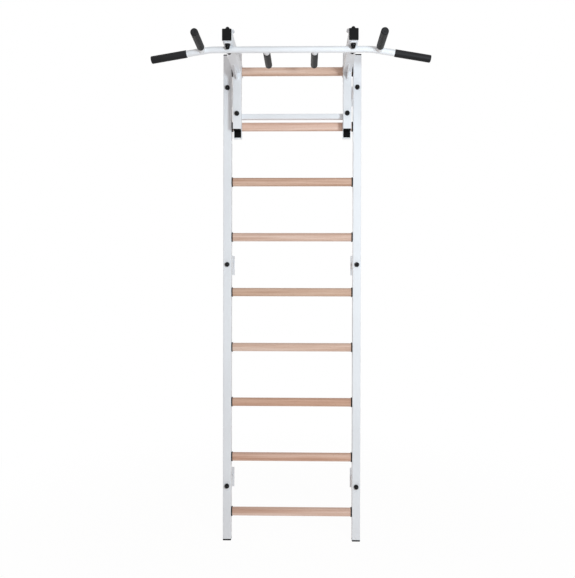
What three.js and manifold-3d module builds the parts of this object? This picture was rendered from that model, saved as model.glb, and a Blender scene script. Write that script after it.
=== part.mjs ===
// Swedish wall bars with a pull-up frame that hangs on the top rung. Millimetres, +Z up.
// The wall is the plane y = 0, the floor is z = 0, and the bars stand on the -Y side of the wall.
import * as THREE from "three";
import { mergeVertices } from "three/addons/utils/BufferGeometryUtils.js";
import Module from "manifold-3d";

const wasm = await Module();
wasm.setup();

// Fits and facets
const FIT = 0.3; // gap between two pieces that seat on each other
const WELD = 1; // how far welded pieces run into each other
const CORNER_FACETS = 3; // on a rounded corner of a tube or rung
const ARC_STEPS = 3; // pairs of facets on a drawn arc
const ROUND_SIDES = 16; // facets on a round bar or bolt
const BORE_SIDES = 8; // facets inside a round tube

// Uprights
const UPRIGHT_SIDE = 40; // square tube
const UPRIGHT_WALL = 2;
const TUBE_CORNER = 3; // outer corner radius of every square tube
const CLEAR_WIDTH = 597; // between the two uprights
const WALL_DISTANCE = 110; // from the wall to the uprights' backs
const TOP_MARGIN = 79; // from the top rung's centre to the top of the caps
const FOOT_CAP_RIM = 7.5;
const TOP_CAP_RIM = 5.6;
const CAP_PLUG = 18; // length of a cap's plug inside its tube

// Rungs and the ferrules that hold their ends
const RUNG_COUNT = 9;
const RUNG_PITCH = 272;
const FIRST_RUNG_HEIGHT = 139;
const RUNG_HEIGHT = 41;
const RUNG_DEPTH = 28;
const RUNG_CORNER = 12;
const RUNG_TENON = 9; // length of a rung's end inside its upright
const FERRULE_COLLAR = 5.5; // thickness of the collar on the upright's inner face
const FERRULE_RIM = 1.1; // how far the collar covers the edge of its hole
const FERRULE_WALL = 1.6;
const FERRULE_DEPTH = 12; // length of the sleeve inside the upright

// Wall brackets and their bolts
const LOWER_BRACKET_RISE = 131; // above the first rung's centre
const UPPER_BRACKET_DROP = 84; // below the top rung's centre
const WALL_PLATE_HEIGHT = 100;
const FRONT_PLATE_HEIGHT = 60;
const PLATE_THICKNESS = 4;
const STANDOFF_SIDE = 30;
const STANDOFF_WALL = 2;
const SCREW_HOLE = 9;
const SCREW_SPACING = 70;
const BOLT_DIAMETER = 8;
const BOLT_TAIL = 8; // length past the bracket's front plate
const DOME_DIAMETER = 24;
const DOME_HEIGHT = 18;

// Pull-up frame: side frames and crossbar
const FRAME_GAP = 12; // between an upright and the side frame beside it
const MEMBER_SIDE = 40; // square tube
const FRAME_WALL = 2;
const MEMBER_ABOVE_RUNG = 75; // above the top rung's centre
const MEMBER_BELOW_RUNG = 26; // below the next rung's centre
const MEMBER_LID = 3;
const ARM_HEIGHT = 50;
const ARM_LENGTH = 380; // in front of the member
const ARM_BELOW_RUNG = 28; // the arm's underside, below the top rung's centre
const ARM_CAP_RIM = 3;
const GUSSET_LENGTH = 112;
const GUSSET_HEIGHT = 34;
const GUSSET_THICKNESS = 6;
const GUSSET_HOLE = 14;
const GUSSET_HOLE_REACH = 19; // in front of the member
const GUSSET_HOLE_DROP = 11.5; // below the arm
const HOOK_THICKNESS = 6;
const HOOK_BEND = 4; // inner bend radius
const HOOK_SLACK = 4; // behind the rung, so that the hook lifts off
const HOOK_OVERLAP = 43; // how far the hook's tip reaches down from its seat
const SHOE_THICKNESS = 16; // from the member's back to the rung
const SHOE_RIM = 3; // thickness under the member's end
const SHOE_ABOVE_RUNG = 19; // above the centre of the rung it bears on
const TRAY_DROP = 34; // from the member's end to the tray's floor
const TRAY_FLOOR = 5;
const TRAY_CHEEK = 3;
const TRAY_DEPTH = 14;
const CROSSBAR_HEIGHT = 25;
const CROSSBAR_DEPTH = 25;
const CROSSBAR_RISE = 44.5; // above the second rung from the top
const CROSSBAR_INSET = 2; // from the members' outer sides

// Pull-up bar, its handles and grips
const BAR_DIAMETER = 27;
const BAR_WALL = 2;
const BAR_SETBACK = 54; // behind the arms' front ends
const BAR_BEND_X = 347;
const BAR_BEND_ANGLE = THREE.MathUtils.degToRad(9.7);
const BAR_BEND_RADIUS = 250;
const BAR_END_RUN = 252; // from the bend's corner to the tube's end
const BAR_STEPS = 20;
const FORWARD_HANDLE_X = 378; // on the sloping run
const FORWARD_HANDLE_REACH = 197; // from the bar's axis to the tube's end
const INNER_HANDLE_X = 104; // on the level run
const INNER_HANDLE_REACH = 183;
const GRIP_LENGTH = 155;
const GRIP_WALL = 1.95;
const GRIP_END = 3; // thickness of the closed end
const GRIP_ROUNDING = 5;
const HANGER_THICKNESS = 5; // plate on top of the bar, bolted up under the arm
const HANGER_LENGTH = 92;
const HANGER_WIDTH = 32;
const HANGER_CORNER = 8;
const HANGER_SEAT = 1.5; // how far the plate sits below the bar's top
const SADDLE_THICKNESS = 5; // plate on top of the arm, under the front clamp bolt's head
const SADDLE_LENGTH = 40;
const SADDLE_REACH = 23; // from the bar's axis to the plate's middle
const SADDLE_INSET = 3; // from the arm's outer side
const SADDLE_OVERHANG = 8.5; // past the arm's inner side
const SADDLE_CORNER = 14;

// Places worked out from the sizes above
const UPRIGHT_X = CLEAR_WIDTH / 2 + UPRIGHT_SIDE / 2;
const RUNG_Y = -(WALL_DISTANCE + UPRIGHT_SIDE / 2);
const rungHeight = (number) => FIRST_RUNG_HEIGHT + (number - 1) * RUNG_PITCH;
const TOP_RUNG_Z = rungHeight(RUNG_COUNT);
const OVERALL_HEIGHT = TOP_RUNG_Z + TOP_MARGIN;
const BRACKET_HEIGHTS = {
  lower: FIRST_RUNG_HEIGHT + LOWER_BRACKET_RISE,
  middle: rungHeight(RUNG_COUNT / 2 + 1),
  upper: TOP_RUNG_Z - UPPER_BRACKET_DROP,
};
const SIDES = { left: -1, right: 1 };

// Finishes
const whiteSteel = new THREE.MeshStandardMaterial({ color: 0xe9ebef, roughness: 0.4, metalness: 0 });
const beech = new THREE.MeshStandardMaterial({ color: 0xcfa98c, roughness: 0.55, metalness: 0 });
const blackPlastic = new THREE.MeshStandardMaterial({ color: 0x17171a, roughness: 0.5, metalness: 0 });
const blackRubber = new THREE.MeshStandardMaterial({ color: 0x202124, roughness: 0.75, metalness: 0 });
const blackSteel = new THREE.MeshStandardMaterial({ color: 0x121214, roughness: 0.35, metalness: 0.3 });

// A geometry as a closed solid that can be joined and cut.
function solid(geometry) {
  const plain = geometry.index ? geometry.toNonIndexed() : geometry.clone();
  plain.deleteAttribute("normal");
  plain.deleteAttribute("uv");
  const merged = mergeVertices(plain);
  return new wasm.Manifold(
    new wasm.Mesh({
      numProp: 3,
      vertProperties: merged.attributes.position.array,
      triVerts: new Uint32Array(merged.index.array),
    }),
  );
}

function geometryOf(made) {
  const { vertProperties, triVerts } = made.getMesh();
  const geometry = new THREE.BufferGeometry();
  geometry.setAttribute("position", new THREE.BufferAttribute(vertProperties, 3));
  geometry.setIndex(new THREE.BufferAttribute(triVerts, 1));
  geometry.computeVertexNormals();
  return geometry;
}

const join = (...geometries) => geometryOf(geometries.map(solid).reduce((whole, next) => whole.add(next)));

function cut(geometry, ...tools) {
  return geometryOf(tools.map(solid).reduce((rest, tool) => rest.subtract(tool), solid(geometry)));
}

// A box between two opposite corners.
function block(low, high) {
  const size = high.map((value, axis) => value - low[axis]);
  const centre = high.map((value, axis) => (value + low[axis]) / 2);
  return new THREE.BoxGeometry(...size).translate(...centre);
}

// A rectangle with rounded corners, centred on the origin.
function roundedRect(width, height, corner) {
  const points = [];
  for (const [quarter, right, up] of [[0, 1, 1], [1, -1, 1], [2, -1, -1], [3, 1, -1]]) {
    for (let facet = 0; facet <= CORNER_FACETS; facet++) {
      const turn = (Math.PI / 2) * (quarter + facet / CORNER_FACETS);
      const x = right * (width / 2 - corner) + corner * Math.cos(turn);
      const y = up * (height / 2 - corner) + corner * Math.sin(turn);
      points.push(new THREE.Vector2(x, y));
    }
  }
  return new THREE.Shape(points);
}

// The section of a rectangular tube, with its bore.
function tubeSection(width, height, wall) {
  const section = roundedRect(width, height, TUBE_CORNER);
  section.holes.push(roundedRect(width - 2 * wall, height - 2 * wall, TUBE_CORNER / 2));
  return section;
}

// An outline drawn in X and Y, raised along +Z.
function raise(outline, length) {
  return new THREE.ExtrudeGeometry(outline, { depth: length, bevelEnabled: false, curveSegments: ARC_STEPS });
}

// An outline drawn in Y and Z, drawn out along X and centred there.
function across(outline, length) {
  return raise(outline, length).translate(0, 0, -length / 2).rotateX(Math.PI / 2).rotateZ(Math.PI / 2);
}

// An outline drawn in X and Z, drawn out forwards, along -Y.
function forward(outline, length) {
  return raise(outline, length).rotateX(Math.PI / 2);
}

// A round rod along Y between two places on that axis.
function rod(diameter, from, to, sides = ROUND_SIDES) {
  const radius = diameter / 2;
  return new THREE.CylinderGeometry(radius, radius, to - from, sides).translate(0, (from + to) / 2, 0);
}

function piece(name, geometry, material, x, y, z) {
  const mesh = new THREE.Mesh(geometry, material);
  mesh.name = name;
  mesh.position.set(x, y, z);
  return mesh;
}

const wallBars = new THREE.Group();

// Each rung end passes through a ferrule into the upright, so these outlines grow from the rung's own.
const rungOutline = (margin) =>
  roundedRect(RUNG_DEPTH + 2 * margin, RUNG_HEIGHT + 2 * margin, RUNG_CORNER + margin);
const SLEEVE_MARGIN = FIT + FERRULE_WALL;

// Upright: a square tube with its inner side towards +X here, open at both ends for the caps.
function uprightGeometry() {
  const foot = FOOT_CAP_RIM + FIT;
  const length = OVERALL_HEIGHT - TOP_CAP_RIM - FIT - foot;
  const tube = raise(tubeSection(UPRIGHT_SIDE, UPRIGHT_SIDE, UPRIGHT_WALL), length).translate(0, 0, foot);
  const innerWall = UPRIGHT_SIDE / 2 - UPRIGHT_WALL / 2;
  const rungHole = across(rungOutline(SLEEVE_MARGIN + FIT), 2 * UPRIGHT_WALL).translate(innerWall, 0, 0);
  const boltHole = rod(BOLT_DIAMETER + 2 * FIT, -UPRIGHT_SIDE, UPRIGHT_SIDE);
  const holes = [];
  for (let number = 1; number <= RUNG_COUNT; number++) {
    holes.push(rungHole.clone().translate(0, 0, rungHeight(number)));
  }
  for (const height of Object.values(BRACKET_HEIGHTS)) {
    holes.push(boltHole.clone().translate(0, 0, height));
  }
  return cut(tube, ...holes);
}

// Cap: a rim over the tube's end and a plug inside it, with the rim's outer face at z = 0.
function capGeometry(width, height, wall, rim) {
  const bore = 2 * (wall + FIT);
  return join(
    raise(roundedRect(width, height, TUBE_CORNER), rim),
    raise(roundedRect(width - bore, height - bore, TUBE_CORNER / 2), rim + CAP_PLUG),
  );
}

// Ferrule: a collar on the upright's face, which is at x = 0 here, and a sleeve into the tube along -X.
function ferruleGeometry() {
  const collar = across(rungOutline(SLEEVE_MARGIN + FERRULE_RIM), FERRULE_COLLAR);
  const sleeve = across(rungOutline(SLEEVE_MARGIN), FERRULE_DEPTH + FERRULE_COLLAR);
  const bore = across(rungOutline(FIT), 3 * (FERRULE_DEPTH + FERRULE_COLLAR));
  return cut(
    join(
      collar.translate(FERRULE_COLLAR / 2 + FIT, 0, 0),
      sleeve.translate((FERRULE_COLLAR - FERRULE_DEPTH) / 2 + FIT, 0, 0),
    ),
    bore,
  );
}

// Wall bracket: wall plate with two screw holes, stand-off tube and front plate with the bolt's hole.
function wallBracketGeometry() {
  const front = -WALL_DISTANCE + FIT;
  const half = UPRIGHT_SIDE / 2;
  const tube = STANDOFF_SIDE / 2;
  const bore = tube - STANDOFF_WALL;
  const tubeFront = front + PLATE_THICKNESS;
  const welded = join(
    block([-half, -PLATE_THICKNESS, -WALL_PLATE_HEIGHT / 2], [half, 0, WALL_PLATE_HEIGHT / 2]),
    block([-half, front, -FRONT_PLATE_HEIGHT / 2], [half, front + PLATE_THICKNESS, FRONT_PLATE_HEIGHT / 2]),
    block([-tube, tubeFront - WELD, -tube], [tube, -PLATE_THICKNESS + WELD, tube]),
  );
  const screwHole = rod(SCREW_HOLE, -2 * PLATE_THICKNESS, PLATE_THICKNESS);
  return cut(
    welded,
    block([-bore, tubeFront, -bore], [bore, -PLATE_THICKNESS, bore]),
    screwHole.clone().translate(0, 0, SCREW_SPACING / 2),
    screwHole.clone().translate(0, 0, -SCREW_SPACING / 2),
    rod(BOLT_DIAMETER + 2 * FIT, front - PLATE_THICKNESS, front + 2 * PLATE_THICKNESS),
  );
}

// Bracket bolt: a domed head in front of the upright, which is at y = 0 here, and a shank along +Y.
function bracketBoltGeometry() {
  const shank = UPRIGHT_SIDE + PLATE_THICKNESS + BOLT_TAIL;
  const domeSteps = 4;
  const outline = [new THREE.Vector2(0, -shank), new THREE.Vector2(BOLT_DIAMETER / 2, -shank)];
  outline.push(new THREE.Vector2(BOLT_DIAMETER / 2, FIT));
  for (let step = 0; step <= domeSteps; step++) {
    const turn = (Math.PI / 2) * (step / domeSteps);
    const radius = step === domeSteps ? 0 : (DOME_DIAMETER / 2) * Math.cos(turn);
    outline.push(new THREE.Vector2(radius, FIT + DOME_HEIGHT * Math.sin(turn)));
  }
  return new THREE.LatheGeometry(outline, ROUND_SIDES).rotateX(Math.PI);
}

const upright = uprightGeometry();
const topCap = capGeometry(UPRIGHT_SIDE, UPRIGHT_SIDE, UPRIGHT_WALL, TOP_CAP_RIM);
const footCap = capGeometry(UPRIGHT_SIDE, UPRIGHT_SIDE, UPRIGHT_WALL, FOOT_CAP_RIM);
const ferrule = ferruleGeometry();
const wallBracket = wallBracketGeometry();
const bracketBolt = bracketBoltGeometry();

for (const [side, sign] of Object.entries(SIDES)) {
  const x = sign * UPRIGHT_X;
  const inwards = sign < 0 ? 0 : Math.PI;
  const post = piece(`upright_${side}`, upright, whiteSteel, x, RUNG_Y, 0);
  post.rotation.z = inwards;
  const lid = piece(`top_cap_${side}`, topCap, blackPlastic, x, RUNG_Y, OVERALL_HEIGHT);
  lid.rotation.x = Math.PI;
  const foot = piece(`foot_cap_${side}`, footCap, blackPlastic, x, RUNG_Y, 0);
  wallBars.add(post, lid, foot);
  for (let number = 1; number <= RUNG_COUNT; number++) {
    const innerFace = (sign * CLEAR_WIDTH) / 2;
    const height = rungHeight(number);
    const collar = piece(`ferrule_${number}_${side}`, ferrule, blackPlastic, innerFace, RUNG_Y, height);
    collar.rotation.z = inwards;
    wallBars.add(collar);
  }
  for (const [level, height] of Object.entries(BRACKET_HEIGHTS)) {
    const front = -(WALL_DISTANCE + UPRIGHT_SIDE);
    wallBars.add(
      piece(`wall_bracket_${level}_${side}`, wallBracket, whiteSteel, x, 0, height),
      piece(`bracket_bolt_${level}_${side}`, bracketBolt, blackSteel, x, front, height),
    );
  }
}

const rung = across(rungOutline(0), CLEAR_WIDTH + 2 * RUNG_TENON);
for (let number = 1; number <= RUNG_COUNT; number++) {
  wallBars.add(piece(`rung_${number}`, rung, beech, 0, RUNG_Y, rungHeight(number)));
}

// The pull-up frame's own origin is the top rung's centre.
const pullUpFrame = new THREE.Group();
pullUpFrame.position.set(0, RUNG_Y, TOP_RUNG_Z);

const MEMBER_X = CLEAR_WIDTH / 2 - FRAME_GAP - MEMBER_SIDE / 2;
const MEMBER_BACK = -RUNG_DEPTH / 2 - SHOE_THICKNESS;
const MEMBER_FRONT = MEMBER_BACK - MEMBER_SIDE;
const MEMBER_END = -RUNG_PITCH - MEMBER_BELOW_RUNG;
const ARM_FRONT = MEMBER_FRONT - ARM_LENGTH;
const ARM_MIDDLE = ARM_HEIGHT / 2 - ARM_BELOW_RUNG;
const BAR_Y = ARM_FRONT + BAR_SETBACK;
const BAR_Z = -ARM_BELOW_RUNG - FIT - HANGER_THICKNESS + HANGER_SEAT - BAR_DIAMETER / 2;
const TRAY_TOP = MEMBER_END - TRAY_DROP;
const SHOE_TOP = -RUNG_PITCH + SHOE_ABOVE_RUNG;

// Gusset: a triangular plate in the corner under the arm, with a hole for a strap or a clip.
function gussetGeometry() {
  const top = -ARM_BELOW_RUNG + WELD;
  const back = MEMBER_FRONT + WELD;
  const plate = new THREE.Shape()
    .moveTo(back, top)
    .lineTo(MEMBER_FRONT - GUSSET_LENGTH, top)
    .lineTo(MEMBER_FRONT - GUSSET_LENGTH, -ARM_BELOW_RUNG)
    .lineTo(MEMBER_FRONT, -ARM_BELOW_RUNG - GUSSET_HEIGHT)
    .lineTo(back, -ARM_BELOW_RUNG - GUSSET_HEIGHT);
  const holeY = MEMBER_FRONT - GUSSET_HOLE_REACH;
  const holeZ = -ARM_BELOW_RUNG - GUSSET_HOLE_DROP;
  plate.holes.push(new THREE.Path().absarc(holeY, holeZ, GUSSET_HOLE / 2, 0, 2 * Math.PI, true));
  return new THREE.ExtrudeGeometry(plate, { depth: GUSSET_THICKNESS, bevelEnabled: false, curveSegments: 6 })
    .translate(0, 0, -GUSSET_THICKNESS / 2)
    .rotateX(Math.PI / 2)
    .rotateZ(Math.PI / 2);
}

// Hook: a bent strap as wide as the member, from the member's back over the rung and down behind it.
function hookGeometry() {
  const seat = RUNG_HEIGHT / 2 + FIT;
  const top = seat + HOOK_THICKNESS;
  const inner = RUNG_DEPTH / 2 + HOOK_SLACK;
  const outer = inner + HOOK_THICKNESS;
  const tip = seat - HOOK_OVERLAP;
  const bendY = inner - HOOK_BEND;
  const bendZ = seat - HOOK_BEND;
  const strap = new THREE.Shape()
    .moveTo(MEMBER_BACK - WELD, seat)
    .lineTo(bendY, seat)
    .absarc(bendY, bendZ, HOOK_BEND, Math.PI / 2, 0, true)
    .lineTo(inner, tip)
    .lineTo(outer, tip)
    .lineTo(outer, bendZ)
    .absarc(bendY, bendZ, HOOK_BEND + HOOK_THICKNESS, 0, Math.PI / 2)
    .lineTo(MEMBER_BACK - WELD, top);
  return across(strap, MEMBER_SIDE);
}

// Tray: two cheeks and a floor behind the member's lower end, which hold the rubber shoe.
function trayGeometries() {
  const half = MEMBER_SIDE / 2;
  const front = MEMBER_BACK - WELD;
  const back = MEMBER_BACK + TRAY_DEPTH;
  const floor = TRAY_TOP - TRAY_FLOOR;
  return [
    block([-half, front, floor], [half, back, TRAY_TOP]),
    block([-half, front, floor], [-half + TRAY_CHEEK, back, SHOE_TOP]),
    block([half - TRAY_CHEEK, front, floor], [half, back, SHOE_TOP]),
  ];
}

// Saddle: a plate on top of the arm, under the hanger's front bolt, with an edge past the arm's inner side.
function saddleGeometry(sign) {
  const outline = roundedRect(MEMBER_SIDE - SADDLE_INSET + SADDLE_OVERHANG, SADDLE_LENGTH, SADDLE_CORNER);
  const inward = (-sign * (SADDLE_INSET + SADDLE_OVERHANG)) / 2;
  const armTop = ARM_HEIGHT - ARM_BELOW_RUNG;
  return raise(outline, SADDLE_THICKNESS + WELD).translate(inward, BAR_Y - SADDLE_REACH, armTop - WELD);
}

// Side frame: member, arm, gusset, hook, tray and saddle, welded into one; the member's middle is at x = 0.
function sideFrameGeometry(sign) {
  const bore = MEMBER_SIDE - 2 * FRAME_WALL;
  const boreCorner = TUBE_CORNER / 2;
  const memberMiddle = (MEMBER_BACK + MEMBER_FRONT) / 2;
  const memberLength = MEMBER_ABOVE_RUNG - MEMBER_END;
  const welded = join(
    raise(roundedRect(MEMBER_SIDE, MEMBER_SIDE, TUBE_CORNER), memberLength)
      .translate(0, memberMiddle, MEMBER_END),
    forward(roundedRect(MEMBER_SIDE, ARM_HEIGHT, TUBE_CORNER), ARM_LENGTH + WELD)
      .translate(0, MEMBER_FRONT + WELD, ARM_MIDDLE),
    gussetGeometry(),
    hookGeometry(),
    ...trayGeometries(),
    saddleGeometry(sign),
  );
  return cut(
    welded,
    raise(roundedRect(bore, bore, boreCorner), memberLength - MEMBER_LID)
      .translate(0, memberMiddle, MEMBER_END),
    forward(roundedRect(bore, ARM_HEIGHT - 2 * FRAME_WALL, boreCorner), ARM_LENGTH)
      .translate(0, MEMBER_FRONT, ARM_MIDDLE),
  );
}

// Rubber shoe: a plug for the member's lower end and the pad between the tray's cheeks, in one moulding.
function shoeGeometry() {
  const top = MEMBER_END - FIT;
  const plugSide = MEMBER_SIDE - 2 * (FRAME_WALL + FIT);
  const padHalf = MEMBER_SIDE / 2 - TRAY_CHEEK - FIT;
  const middle = (MEMBER_BACK + MEMBER_FRONT) / 2;
  const padFront = MEMBER_BACK + FIT;
  const padBack = -RUNG_DEPTH / 2 - FIT;
  return join(
    raise(roundedRect(plugSide, plugSide, TUBE_CORNER / 2), SHOE_RIM + CAP_PLUG)
      .translate(0, middle, top - SHOE_RIM),
    block([-padHalf, middle, top - SHOE_RIM], [padHalf, padBack, top]),
    block([-padHalf, padFront, TRAY_TOP + FIT], [padHalf, padBack, SHOE_TOP]),
  );
}

// The bar's axis: level between the two bends, then sloping down to each end.
function barPath() {
  const tangent = BAR_BEND_RADIUS * Math.tan(BAR_BEND_ANGLE / 2);
  const along = (run, sign) =>
    new THREE.Vector3(
      sign * (BAR_BEND_X + run * Math.cos(BAR_BEND_ANGLE)),
      0,
      -run * Math.sin(BAR_BEND_ANGLE),
    );
  const level = (sign) => new THREE.Vector3(sign * (BAR_BEND_X - tangent), 0, 0);
  const path = new THREE.CurvePath();
  path.add(new THREE.LineCurve3(along(BAR_END_RUN, -1), along(tangent, -1)));
  path.add(new THREE.QuadraticBezierCurve3(along(tangent, -1), along(0, -1), level(-1)));
  path.add(new THREE.LineCurve3(level(-1), level(1)));
  path.add(new THREE.QuadraticBezierCurve3(level(1), along(0, 1), along(tangent, 1)));
  path.add(new THREE.LineCurve3(along(tangent, 1), along(BAR_END_RUN, 1)));
  return path;
}

// How high the bar's axis runs at a distance from the middle.
const barHeight = (x) => -Math.max(0, x - BAR_BEND_X) * Math.tan(BAR_BEND_ANGLE);

// Hanger: a plate across the top of the bar, bolted up under an arm.
function hangerGeometry(sign) {
  const plate = raise(roundedRect(HANGER_WIDTH, HANGER_LENGTH, HANGER_CORNER), HANGER_THICKNESS);
  return plate.translate(sign * MEMBER_X, 0, BAR_DIAMETER / 2 - HANGER_SEAT);
}

// Pull-up bar: the bent tube, its two hangers and its four handle tubes, open at the ends under the grips.
function barGeometry() {
  const sweep = (diameter, sides) =>
    new THREE.ExtrudeGeometry(new THREE.Shape().absarc(0, 0, diameter / 2, 0, 2 * Math.PI), {
      steps: BAR_STEPS,
      curveSegments: sides / 2,
      extrudePath: barPath(),
    });
  const handles = (diameter, sides) =>
    Object.values(SIDES).flatMap((sign) => [
      rod(diameter, -FORWARD_HANDLE_REACH, 0, sides)
        .translate(sign * FORWARD_HANDLE_X, 0, barHeight(FORWARD_HANDLE_X)),
      rod(diameter, 0, INNER_HANDLE_REACH, sides)
        .translate(sign * INNER_HANDLE_X, 0, barHeight(INNER_HANDLE_X)),
    ]);
  const bore = BAR_DIAMETER - 2 * BAR_WALL;
  return cut(
    join(
      sweep(BAR_DIAMETER, ROUND_SIDES),
      ...handles(BAR_DIAMETER, ROUND_SIDES),
      ...Object.values(SIDES).map(hangerGeometry),
    ),
    sweep(bore, BORE_SIDES),
    ...handles(bore, BORE_SIDES),
  );
}

// Grip: a sleeve along Y with its mouth at the foot and a closed, rounded end at the top,
// whose inner face meets the tube's end at y = 0.
function gripGeometry() {
  const bore = BAR_DIAMETER / 2 + FIT;
  const radius = bore + GRIP_WALL;
  const end = GRIP_END + FIT;
  const mouth = end - GRIP_LENGTH;
  const roundSteps = 3;
  const outline = [new THREE.Vector2(0, FIT), new THREE.Vector2(bore, FIT), new THREE.Vector2(bore, mouth)];
  outline.push(new THREE.Vector2(radius, mouth));
  for (let step = 0; step <= roundSteps; step++) {
    const turn = (Math.PI / 2) * (step / roundSteps);
    outline.push(
      new THREE.Vector2(
        radius - GRIP_ROUNDING * (1 - Math.cos(turn)),
        end - GRIP_ROUNDING * (1 - Math.sin(turn)),
      ),
    );
  }
  outline.push(new THREE.Vector2(0, end));
  return new THREE.LatheGeometry(outline, ROUND_SIDES);
}

const armCap = capGeometry(MEMBER_SIDE, ARM_HEIGHT, FRAME_WALL, ARM_CAP_RIM);
const shoe = shoeGeometry();
const grip = gripGeometry();

for (const [side, sign] of Object.entries(SIDES)) {
  const x = sign * MEMBER_X;
  const cap = piece(`arm_cap_${side}`, armCap, blackPlastic, x, ARM_FRONT - FIT - ARM_CAP_RIM, ARM_MIDDLE);
  cap.rotation.x = -Math.PI / 2;
  pullUpFrame.add(
    piece(`side_frame_${side}`, sideFrameGeometry(sign), whiteSteel, x, 0, 0),
    piece(`frame_shoe_${side}`, shoe, blackRubber, x, 0, 0),
    cap,
  );
}

const crossbarLength = 2 * MEMBER_X + MEMBER_SIDE - 2 * CROSSBAR_INSET;
const crossbarSection = tubeSection(CROSSBAR_DEPTH, CROSSBAR_HEIGHT, FRAME_WALL);
const crossbarY = MEMBER_BACK + FIT + CROSSBAR_DEPTH / 2;
const crossbarZ = CROSSBAR_RISE - RUNG_PITCH;
const crossbar = across(crossbarSection, crossbarLength);
pullUpFrame.add(piece("crossbar", crossbar, whiteSteel, 0, crossbarY, crossbarZ));

// The bar, with a grip on each of its ends and handles; a grip's +Y points out along its tube.
const barAssembly = new THREE.Group();
barAssembly.position.set(0, BAR_Y, BAR_Z);
barAssembly.add(piece("pull_up_bar", barGeometry(), whiteSteel, 0, 0, 0));
for (const [side, sign] of Object.entries(SIDES)) {
  const endX = sign * (BAR_BEND_X + BAR_END_RUN * Math.cos(BAR_BEND_ANGLE));
  const endZ = -BAR_END_RUN * Math.sin(BAR_BEND_ANGLE);
  const endGrip = piece(`end_grip_${side}`, grip, blackRubber, endX, 0, endZ);
  endGrip.quaternion.setFromUnitVectors(
    new THREE.Vector3(0, 1, 0),
    new THREE.Vector3(sign * Math.cos(BAR_BEND_ANGLE), 0, -Math.sin(BAR_BEND_ANGLE)),
  );
  const forwardGrip = piece(`forward_grip_${side}`, grip, blackRubber, 0, 0, 0);
  forwardGrip.position.set(sign * FORWARD_HANDLE_X, -FORWARD_HANDLE_REACH, barHeight(FORWARD_HANDLE_X));
  forwardGrip.rotation.z = Math.PI;
  const innerGrip = piece(`inner_grip_${side}`, grip, blackRubber, 0, 0, 0);
  innerGrip.position.set(sign * INNER_HANDLE_X, INNER_HANDLE_REACH, barHeight(INNER_HANDLE_X));
  barAssembly.add(endGrip, forwardGrip, innerGrip);
}
pullUpFrame.add(barAssembly);

const part = new THREE.Group();
part.add(wallBars, pullUpFrame);
export default part;
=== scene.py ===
# %% [markdown]
# # Swedish wall bars with a hang-on pull-up frame
# Two white steel uprights, nine beech rungs in black ferrules and a frame with a bent bar that hooks over
# the top rung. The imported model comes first, because every size and place below is read from its solids.

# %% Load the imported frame
import math

import bmesh
import bpy
from mathutils import Matrix, Vector


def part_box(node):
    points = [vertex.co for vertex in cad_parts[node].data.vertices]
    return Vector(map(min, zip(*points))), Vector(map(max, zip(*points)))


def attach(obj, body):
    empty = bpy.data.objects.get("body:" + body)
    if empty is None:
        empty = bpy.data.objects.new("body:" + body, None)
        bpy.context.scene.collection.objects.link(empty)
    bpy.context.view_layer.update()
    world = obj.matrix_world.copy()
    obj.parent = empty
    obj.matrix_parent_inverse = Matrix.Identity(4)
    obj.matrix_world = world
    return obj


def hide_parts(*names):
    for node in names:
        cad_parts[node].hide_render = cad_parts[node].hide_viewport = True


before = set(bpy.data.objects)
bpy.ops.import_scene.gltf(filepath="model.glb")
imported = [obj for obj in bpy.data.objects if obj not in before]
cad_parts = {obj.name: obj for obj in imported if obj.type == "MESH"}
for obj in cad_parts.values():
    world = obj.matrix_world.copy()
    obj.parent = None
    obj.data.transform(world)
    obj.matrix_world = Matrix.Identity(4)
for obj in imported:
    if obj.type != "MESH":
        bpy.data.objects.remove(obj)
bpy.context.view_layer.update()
MM = 0.001
SIDES = ("left", "right")
LEVELS = ("lower", "middle", "upper")
RUNG_NUMBERS = range(1, 10)


# %% [markdown]
# ## Measuring the solids
# A tape measure for this lesson: the box of a solid tells where its piece goes. Numbers could be typed in
# again, but a size that is read keeps the pieces in place when the solids change.

# %% A tape measure
def span(node):
    low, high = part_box(node)
    return low, high, (low + high) / 2, high - low


UPRIGHT = {side: span(f"upright_{side}") for side in SIDES}
RUNG = {number: span(f"rung_{number}") for number in RUNG_NUMBERS}
UPRIGHT_SIDE = UPRIGHT["left"][3].x
UPRIGHT_FRONT = UPRIGHT["left"][0].y
RUNG_PITCH = RUNG[2][2].z - RUNG[1][2].z
print(f"rungs {RUNG_PITCH:.3f} m apart, uprights {UPRIGHT_SIDE / MM:.0f} mm square")

# %% [markdown]
# ## Camera
# The bars are seen from about 3.1 m in front and 1.25 m up, a little to the right of their middle. Only a
# level camera keeps the uprights upright, so the view turns by a degree and hardly tilts. The focal length
# is known in pixels of a picture 575 wide, and the sensor's width turns it into millimetres.

# %% Camera
PICTURE_WIDTH = 575
FOCAL_PIXELS = 605.8
lens = bpy.data.cameras.new("front_view")
lens.sensor_fit = "HORIZONTAL"
lens.sensor_width = 36
lens.lens = FOCAL_PIXELS / PICTURE_WIDTH * lens.sensor_width
camera = bpy.data.objects.new("front_view", lens)
lens.shift_x, lens.shift_y = -0.0114, 0.0032
turn = Matrix.Rotation(math.radians(1.0205), 4, "Z")
tilt = Matrix.Rotation(math.radians(90 - 0.415), 4, "X")
roll = Matrix.Rotation(math.radians(0.13), 4, "Z")
camera.matrix_world = Matrix.Translation((0.064, -3.1271, 1.2554)) @ turn @ tilt @ roll
bpy.context.scene.collection.objects.link(camera)
bpy.context.scene.camera = camera
print(f"lens {lens.lens:.1f} mm")


# %% [markdown]
# ## Nodes as sums
# Finishes and repeated shapes are both drawn with nodes. Placing nodes one by one makes long scripts, so a
# Board adds any node in one line, and a Field wraps an output so that it can stand in a sum: 1 - mask adds
# its own Math node.

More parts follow.
